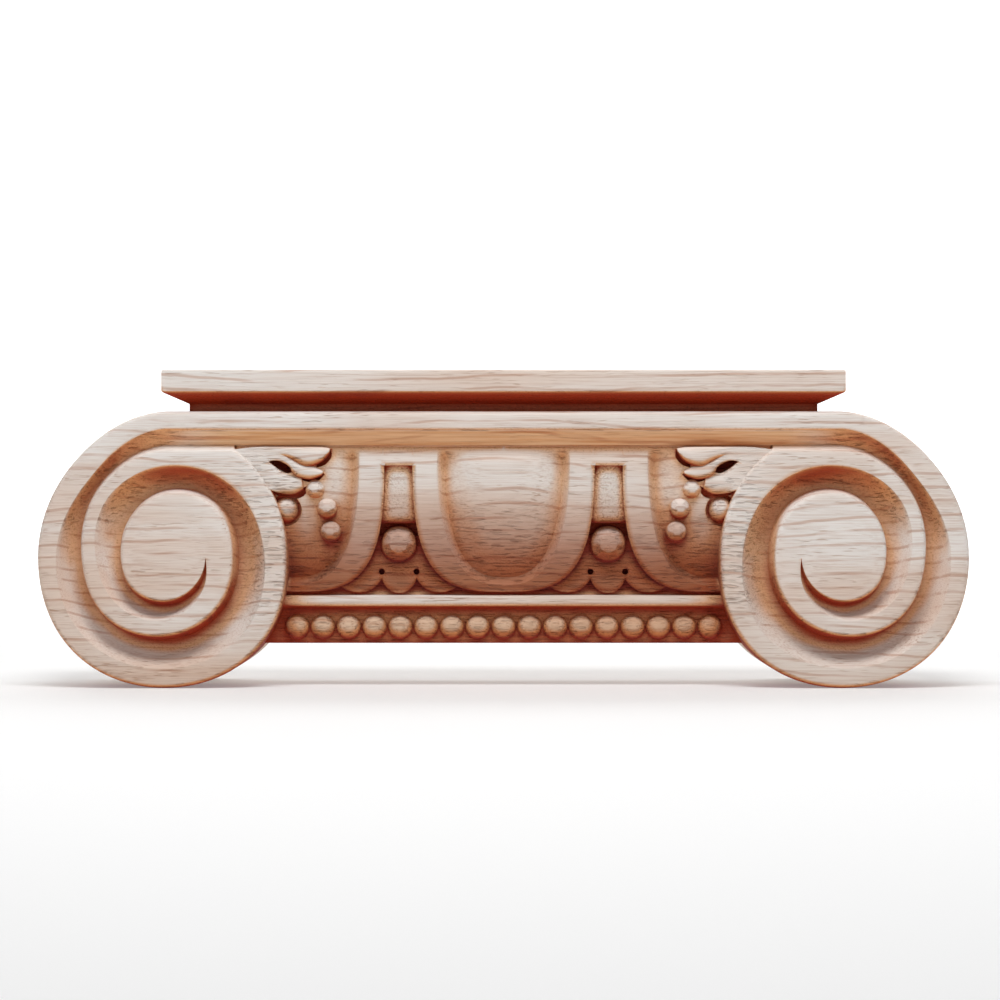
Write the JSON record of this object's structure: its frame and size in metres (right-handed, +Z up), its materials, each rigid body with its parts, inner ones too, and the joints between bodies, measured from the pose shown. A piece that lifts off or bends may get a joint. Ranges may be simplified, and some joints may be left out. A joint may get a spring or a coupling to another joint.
{
  "type": "ionic pilaster capital",
  "caption": "Carved Ionic capital for a flat pilaster: scrolls at both ends, egg-and-dart ovolo with leaves and berries, bead course below, thin square abacus on top, flat back.",
  "frame": {"origin": "centre of the flat underside that sits on the pilaster, midway through its 19 mm depth", "axes": "+X to the right along the width, +Z up, the carved face looks along -Y and the flat back along +Y"},
  "size_m": [0.212, 0.0281, 0.0723],
  "materials": {
    "carved_wood": "bare machine-carved hardwood, unsanded and unfinished, with dark pores along the grain"
  },
  "bodies": {
    "root": {"capital": "carved_wood"}
  },
  "joints": []
}
